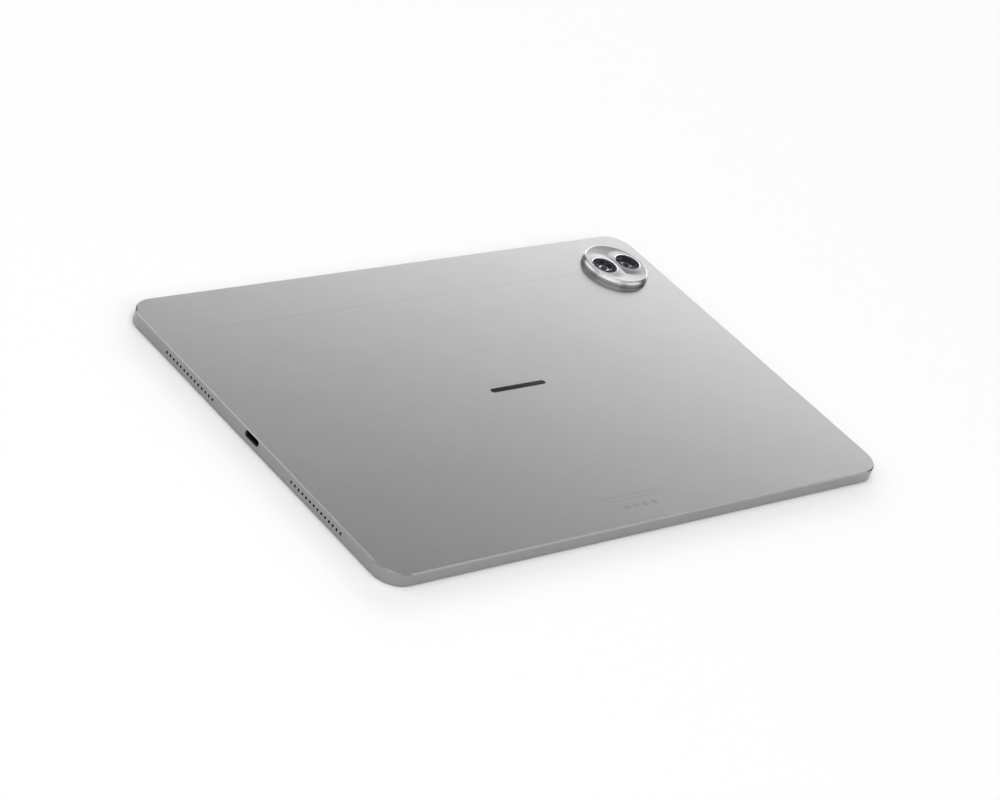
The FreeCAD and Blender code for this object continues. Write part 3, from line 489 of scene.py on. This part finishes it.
# Camera windows. Discs of hard glass with a coating that cuts glare. The edge is printed black from below,
# and the middle is clear over the lens.
window_glass, window_shader = start_finish("window_glass", (1.0, 1.0, 1.0), 0.0)
window_shader.inputs["Transmission Weight"].default_value = 1.0
window_shader.inputs["IOR"].default_value = 1.12
work_in(window_glass, window_shader, object_noise(window_glass, 0.004), gloss=(0.0, 0.02),
        colours=((0.93, 0.95, 1.0), (0.97, 0.98, 1.0)))
dress(window_glass, "camera_window_main", "camera_window_second")

lens_low, lens_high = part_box("camera_lens_main")
clear_radius = (lens_high.x - lens_low.x) / 2 + 0.0001
mask_top = window_low.z - 0.00002
mask_foot = mask_top - 0.0002
mask_outer = window_radius - 0.0001
mask_outline = [
    (clear_radius, mask_foot), (clear_radius + 0.00005, mask_top - 0.00002),
    (clear_radius + 0.0002, mask_top), (mask_outer, mask_top), (mask_outer, mask_foot),
    (clear_radius, mask_foot),
]
black_ink, ink_shader = start_finish("black_window_ink", (0.006, 0.007, 0.010), 0.5)
ink_shader.inputs["Specular IOR Level"].default_value = 0.1
work_in(black_ink, ink_shader, object_noise(black_ink, 0.0003), depth=0.000002,
        colours=((0.005, 0.006, 0.009), (0.008, 0.009, 0.013)))
for which, place in window_middle.items():
    mask = turn_piece(f"window_mask_{which}", place, mask_outline, steps=96)
    belong(mask, "tablet_body", black_ink)

# Lenses. A black barrel of stepped rings round a small coated front element. The main camera's barrel moves
# a little to focus, and the second camera's has four small light steel pips round it, as painted glints.
barrel_black, barrel_shader = start_finish("barrel_black", (0.012, 0.012, 0.014), 0.35)
barrel_shader.inputs["Specular IOR Level"].default_value = 0.08
barrel_lines = turning_lines(barrel_black, window_middle["main"], 0.0002)
work_in(barrel_black, barrel_shader, barrel_lines, depth=0.00001)
work_in(barrel_black, barrel_shader, object_noise(barrel_black, 0.0005), gloss=(0.28, 0.42),
        colours=((0.010, 0.010, 0.012), (0.016, 0.016, 0.020)))
dress(barrel_black, "camera_lens_main", "camera_lens_second")

coated_glass, coated_shader = start_finish("coated_lens_glass", (0.010, 0.014, 0.022), 0.03)
coated_shader.inputs["Specular IOR Level"].default_value = 0.1
coated_shader.inputs["Specular Tint"].default_value = (0.55, 0.7, 1.0, 1)
work_in(coated_glass, coated_shader, object_noise(coated_glass, 0.002), gloss=(0.02, 0.05),
        colours=((0.008, 0.012, 0.022), (0.014, 0.018, 0.028)))
ring_grey, ring_shader = start_finish("lens_ring_grey", (0.05, 0.053, 0.06), 0.3, metal=1.0)
work_in(ring_grey, ring_shader, object_noise(ring_grey, 0.0006), gloss=(0.24, 0.36),
        colours=((0.042, 0.045, 0.052), (0.060, 0.063, 0.070)))


def lens_dome(name, middle, foot, radius, rise, steps=64):
    """The front element of a lens: a shallow dome on a short round foot, closed underneath."""
    outline = [(0, foot - 0.0002), (radius, foot - 0.0002), (radius, foot)]
    for part in range(1, 9):
        angle = part / 8 * math.pi / 2
        outline.append((radius * math.cos(angle), foot + rise * math.sin(angle)))
    return turn_piece(name, middle, outline, steps)


def thin_ring(name, middle, inner, outer, foot, height):
    """A thin ring with its top edges taken off, which seats on something at the foot height."""
    edge = min(height, outer - inner) * 0.35
    outline = [(inner, foot), (inner, foot + height - edge), (inner + edge, foot + height),
               (outer - edge, foot + height), (outer, foot + height - edge), (outer, foot), (inner, foot)]
    return turn_piece(name, middle, outline)


lens_crown = lens_high.z
lens_body = {"main": "focus_lens", "second": "tablet_body"}
front_radius = {"main": 0.0019, "second": 0.0014}
front_foot = lens_crown - 0.0007
front_rise = 0.0005
collar_foot = lens_crown - 0.0009
collar_width = 0.0003
collar_height = 0.0005
retainer_inner = 0.0030
retainer_outer = 0.00325
retainer_foot = lens_crown - 0.0001
retainer_height = 0.00018
for which, place in window_middle.items():
    body = lens_body[which]
    front = front_radius[which]
    element = lens_dome(f"lens_element_{which}", place, front_foot, front, front_rise)
    belong(element, body, coated_glass)
    collar = thin_ring(f"lens_collar_{which}", place, front, front + collar_width, collar_foot, collar_height)
    belong(collar, body, ring_grey)
    retainer = thin_ring(f"lens_retainer_{which}", place, retainer_inner, retainer_outer, retainer_foot,
                         retainer_height)
    belong(retainer, body, ring_grey)

# Painted glints: four small light steel pips on the second lens's black ring, set where four glints show.
glint_pip_steel, pip_shader = start_finish("glint_pip_steel", (0.22, 0.22, 0.23), 0.35, metal=1.0)
work_in(glint_pip_steel, pip_shader, object_noise(glint_pip_steel, 0.0004), gloss=(0.30, 0.40),
        colours=((0.20, 0.20, 0.21), (0.24, 0.24, 0.25)))
pip_angle = 40
pip_circle = 0.0032
pip_radius = 0.00042
pip_rise = 0.0001
pips = []
second_middle = window_middle["second"]
for quarter in range(4):
    angle = math.radians(pip_angle + 90 * quarter)
    pip_middle = second_middle + Vector((pip_circle * math.cos(angle), pip_circle * math.sin(angle), 0))
    pips.append(lens_dome(f"pip_{quarter}", pip_middle, lens_crown, pip_radius, pip_rise, steps=20))
glint_pips = join_pieces(pips, "lens_glint_pips")
belong(glint_pips, "tablet_body", glint_pip_steel)

# Keys. The power key on the camera end and the volume key on the camera edge are cut from aluminium bar, with
# a bright edge and a face that is blasted to match the housing.
key_aluminium, key_shader = start_finish("key_aluminium", (0.55, 0.55, 0.555), 0.28, metal=1.0)
work_in(key_aluminium, key_shader, object_noise(key_aluminium, 0.00015), depth=0.000001,
        colours=((0.54, 0.54, 0.545), (0.56, 0.56, 0.565)), gloss=(0.25, 0.31))
dress(key_aluminium, "power_button", "volume_rocker")

# Charging socket. A drawn steel shell, plated dark, set in the port end, with a moulded tongue down its
# middle that carries gold contacts above and below.
dark_plate, dark_plate_shader = start_finish("dark_plated_shell", (0.07, 0.07, 0.072), 0.38, metal=1.0)
work_in(dark_plate, dark_plate_shader, object_noise(dark_plate, 0.0006, stretch=(12, 1, 1)), depth=0.000002,
        colours=((0.06, 0.06, 0.062), (0.09, 0.09, 0.092)), gloss=(0.32, 0.44))
dress(dark_plate, "usb_shell")

tongue_black, tongue_shader = start_finish("tongue_black", (0.03, 0.03, 0.032), 0.5)
work_in(tongue_black, tongue_shader, object_noise(tongue_black, 0.0001), depth=0.000002,
        colours=((0.027, 0.027, 0.029), (0.034, 0.034, 0.036)), gloss=(0.45, 0.55))
dress(tongue_black, "usb_tongue")

contact_gold, gold_shader = start_finish("contact_gold", (0.80, 0.58, 0.25), 0.25, metal=1.0)
work_in(contact_gold, gold_shader, object_noise(contact_gold, 0.0002, stretch=(8, 1, 1)), depth=0.0000005,
        colours=((0.77, 0.55, 0.23), (0.83, 0.61, 0.28)), gloss=(0.2, 0.3))
dress(contact_gold, "usb_contacts")

# Screen. A sheet of hard glass with a black printed border, bonded to the panel that makes the picture. The
# screen is off, so it is dark all over and the border hardly shows.
screen_glass, screen_shader = start_finish("screen_glass", (1.0, 1.0, 1.0), 0.02)
screen_shader.inputs["Transmission Weight"].default_value = 1.0
screen_shader.inputs["IOR"].default_value = 1.5
work_in(screen_glass, screen_shader, object_noise(screen_glass, 0.02), gloss=(0.0, 0.03),
        colours=((0.96, 0.97, 0.98), (1.0, 1.0, 1.0)))
dress(screen_glass, "cover_glass")

border_black, border_shader = start_finish("border_black", (0.004, 0.004, 0.005), 0.4)
work_in(border_black, border_shader, object_noise(border_black, 0.0005), depth=0.000001,
        colours=((0.004, 0.004, 0.005), (0.006, 0.006, 0.007)))
dress(border_black, "glass_border_print")

clear_bond, bond_shader = start_finish("clear_bond", (1.0, 1.0, 1.0), 0.0)
bond_shader.inputs["Transmission Weight"].default_value = 1.0
bond_shader.inputs["IOR"].default_value = 1.48
work_in(clear_bond, bond_shader, object_noise(clear_bond, 0.01), gloss=(0.0, 0.02),
        colours=((0.98, 0.98, 0.98), (1.0, 1.0, 1.0)))
dress(clear_bond, "optical_bond")


def pixel_rows(material, pitch):
    """The upright stripes of a screen's sub-pixels, from 0 to 1."""
    tree = material.node_tree
    place = tree.nodes.new("ShaderNodeTexCoord")
    stripes = tree.nodes.new("ShaderNodeTexWave")
    stripes.wave_type = "BANDS"
    stripes.bands_direction = "X"
    stripes.inputs["Scale"].default_value = 1 / (pitch * 20)
    tree.links.new(place.outputs["Object"], stripes.inputs["Vector"])
    return stripes.outputs["Fac"]


panel_dark, panel_shader = start_finish("panel_dark", (0.012, 0.012, 0.015), 0.2)
work_in(panel_dark, panel_shader, pixel_rows(panel_dark, 0.0001), gloss=(0.15, 0.25),
        colours=((0.010, 0.010, 0.013), (0.016, 0.016, 0.019)))
dress(panel_dark, "lcd_panel")

# Light unit. Behind the panel lie a clear light guide with white sheets, the thin aluminium tray that holds
# them and a graphite sheet that spreads the heat. Tape holds the glass to the housing's ledge.
guide_white, guide_shader = start_finish("guide_white", (0.86, 0.87, 0.88), 0.3)
work_in(guide_white, guide_shader, object_noise(guide_white, 0.0008), depth=0.000002,
        colours=((0.84, 0.85, 0.86), (0.88, 0.89, 0.90)), gloss=(0.25, 0.35))
dress(guide_white, "backlight_unit")

tray_metal, tray_shader = start_finish("tray_metal", (0.60, 0.60, 0.61), 0.4, metal=1.0)
work_in(tray_metal, tray_shader, object_noise(tray_metal, 0.0003, stretch=(60, 1, 1)), depth=0.000001,
        colours=((0.57, 0.57, 0.58), (0.63, 0.63, 0.64)), gloss=(0.34, 0.46))
dress(tray_metal, "backlight_tray")

graphite, graphite_shader = start_finish("graphite_sheet", (0.05, 0.05, 0.052), 0.45)
work_in(graphite, graphite_shader, object_noise(graphite, 0.0015), depth=0.000004,
        colours=((0.04, 0.04, 0.042), (0.065, 0.065, 0.068)), gloss=(0.38, 0.52))
dress(graphite, "heat_spreader")

foam_tape, tape_shader = start_finish("foam_tape", (0.02, 0.02, 0.02), 0.8)
work_in(foam_tape, tape_shader, object_noise(foam_tape, 0.0003), depth=0.00001,
        colours=((0.016, 0.016, 0.016), (0.028, 0.028, 0.028)))
dress(foam_tape, "display_adhesive", "battery_adhesive")

# Boards. Green laminate with a mottled solder mask, black chips and connectors, and orange printed film
# between the boards, the screen, the cameras and the cells.
board_green, board_green_shader = start_finish("board_green", (0.015, 0.085, 0.045), 0.4)
work_in(board_green, board_green_shader, object_noise(board_green, 0.0008), depth=0.000006,
        colours=((0.012, 0.070, 0.038), (0.020, 0.100, 0.055)), gloss=(0.35, 0.5))
dress(board_green, "main_board", "usb_board", "camera_board", "battery_guard_board")

chip_black, chip_shader = start_finish("chip_black", (0.025, 0.025, 0.027), 0.55)
work_in(chip_black, chip_shader, object_noise(chip_black, 0.0001), depth=0.000003,
        colours=((0.022, 0.022, 0.024), (0.032, 0.032, 0.034)), gloss=(0.5, 0.62))
dress(chip_black, "processor", "board_chips")

flex_orange, flex_shader = start_finish("flex_orange", (0.38, 0.13, 0.02), 0.35)
work_in(flex_orange, flex_shader, object_noise(flex_orange, 0.0004, stretch=(14, 1, 1)), depth=0.000003,
        colours=((0.32, 0.10, 0.015), (0.44, 0.16, 0.03)), gloss=(0.3, 0.42))
dress(flex_orange, "display_flex", "camera_flex", "battery_flex", "interconnect_flex")

# Moulded parts. Glass-filled nylon, black, with the fine texture that a spark-cut mould leaves: the speaker
# boxes, antenna carriers, switch bodies, connectors and camera cases.
moulded_black, moulded_shader = start_finish("moulded_black", (0.022, 0.022, 0.024), 0.55)
work_in(moulded_black, moulded_shader, object_noise(moulded_black, 0.0002), depth=0.000005,
        colours=((0.018, 0.018, 0.020), (0.028, 0.028, 0.030)), gloss=(0.48, 0.62))
dress(moulded_black, "speaker_box_port_end_near", "speaker_box_port_end_far", "speaker_box_camera_end_near",
      "speaker_box_camera_end_far", "speaker_drivers", "antenna_left", "antenna_right", "power_switch",
      "volume_switches", "board_connectors", "camera_case_main", "camera_case_second", "front_camera")

# Speaker cloth. A fine black woven mesh is glued in behind each row of sound holes. It lets the sound through
# and keeps dust out.
speaker_cloth, cloth_shader = start_finish("speaker_cloth", (0.012, 0.012, 0.013), 0.8)


def woven(material, pitch):
    """Threads crossing at right angles on the faces that look along X, from 0 to 1."""
    tree = material.node_tree
    place = tree.nodes.new("ShaderNodeTexCoord")
    threads = []
    for direction in ("Y", "Z"):
        wave = tree.nodes.new("ShaderNodeTexWave")
        wave.bands_direction = direction
        wave.inputs["Scale"].default_value = 1 / (pitch * 20)
        tree.links.new(place.outputs["Object"], wave.inputs["Vector"])
        threads.append(wave.outputs["Fac"])
    crossing = tree.nodes.new("ShaderNodeMath")
    crossing.operation = "MAXIMUM"
    tree.links.new(threads[0], crossing.inputs[0])
    tree.links.new(threads[1], crossing.inputs[1])
    return crossing.outputs["Value"]


work_in(speaker_cloth, cloth_shader, woven(speaker_cloth, 0.00012), depth=0.00003,
        colours=((0.006, 0.006, 0.006), (0.020, 0.020, 0.021)))
dress(speaker_cloth, "speaker_meshes")

# Stamped sheet. Nickel-plated steel, rolled one way: key brackets, switch domes, shield cans, the camera
# bracket, battery tabs and microphone cans.
plated_sheet, plated_shader = start_finish("plated_sheet", (0.55, 0.54, 0.52), 0.35, metal=1.0)
work_in(plated_sheet, plated_shader, object_noise(plated_sheet, 0.0004, stretch=(30, 1, 1)), depth=0.000001,
        colours=((0.52, 0.51, 0.49), (0.58, 0.57, 0.55)), gloss=(0.28, 0.42))
dress(plated_sheet, "power_switch_dome", "power_key_bracket", "volume_switch_domes", "volume_key_bracket",
      "camera_bracket", "battery_tabs", "microphones", "shield_can_processor", "shield_can_power")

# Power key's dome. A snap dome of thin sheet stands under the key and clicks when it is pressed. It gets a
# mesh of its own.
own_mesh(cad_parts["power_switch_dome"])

# Magnets and screws. Nickel-plated magnets hold a cover to the long edge and drive the speakers. The screws
# that hold the inner parts down are of dark steel.
magnet_nickel, magnet_shader = start_finish("magnet_nickel", (0.60, 0.58, 0.54), 0.22, metal=1.0)
work_in(magnet_nickel, magnet_shader, object_noise(magnet_nickel, 0.001), depth=0.0000015,
        colours=((0.57, 0.55, 0.51), (0.63, 0.61, 0.57)), gloss=(0.18, 0.28))
dress(magnet_nickel, "cover_magnets", "speaker_magnets")

screw_steel, screw_shader = start_finish("screw_steel", (0.30, 0.30, 0.31), 0.3, metal=1.0)
work_in(screw_steel, screw_shader, object_noise(screw_steel, 0.0002), depth=0.000002,
        colours=((0.26, 0.26, 0.27), (0.34, 0.34, 0.35)), gloss=(0.25, 0.38))
dress(screw_steel, "housing_screws")

# Battery. Two flat cells lie side by side in the bay, each wrapped in a dull silver laminated foil with a
# faint embossed crinkle.
battery_foil, foil_shader = start_finish("battery_foil", (0.42, 0.43, 0.44), 0.42, metal=1.0)
work_in(battery_foil, foil_shader, object_noise(battery_foil, 0.0025), depth=0.00002,
        colours=((0.38, 0.39, 0.40), (0.46, 0.47, 0.48)), gloss=(0.36, 0.5))
dress(battery_foil, "battery_cell_left", "battery_cell_right")

# Antenna leads. Thin coaxial leads run from the board to the antennas. Their sheath is smooth dark plastic.
coax_sheath, coax_shader = start_finish("coax_sheath", (0.03, 0.03, 0.032), 0.4)
work_in(coax_sheath, coax_shader, object_noise(coax_sheath, 0.0003), depth=0.000004,
        colours=((0.025, 0.025, 0.027), (0.038, 0.038, 0.040)), gloss=(0.35, 0.48))
dress(coax_sheath, "antenna_coax")
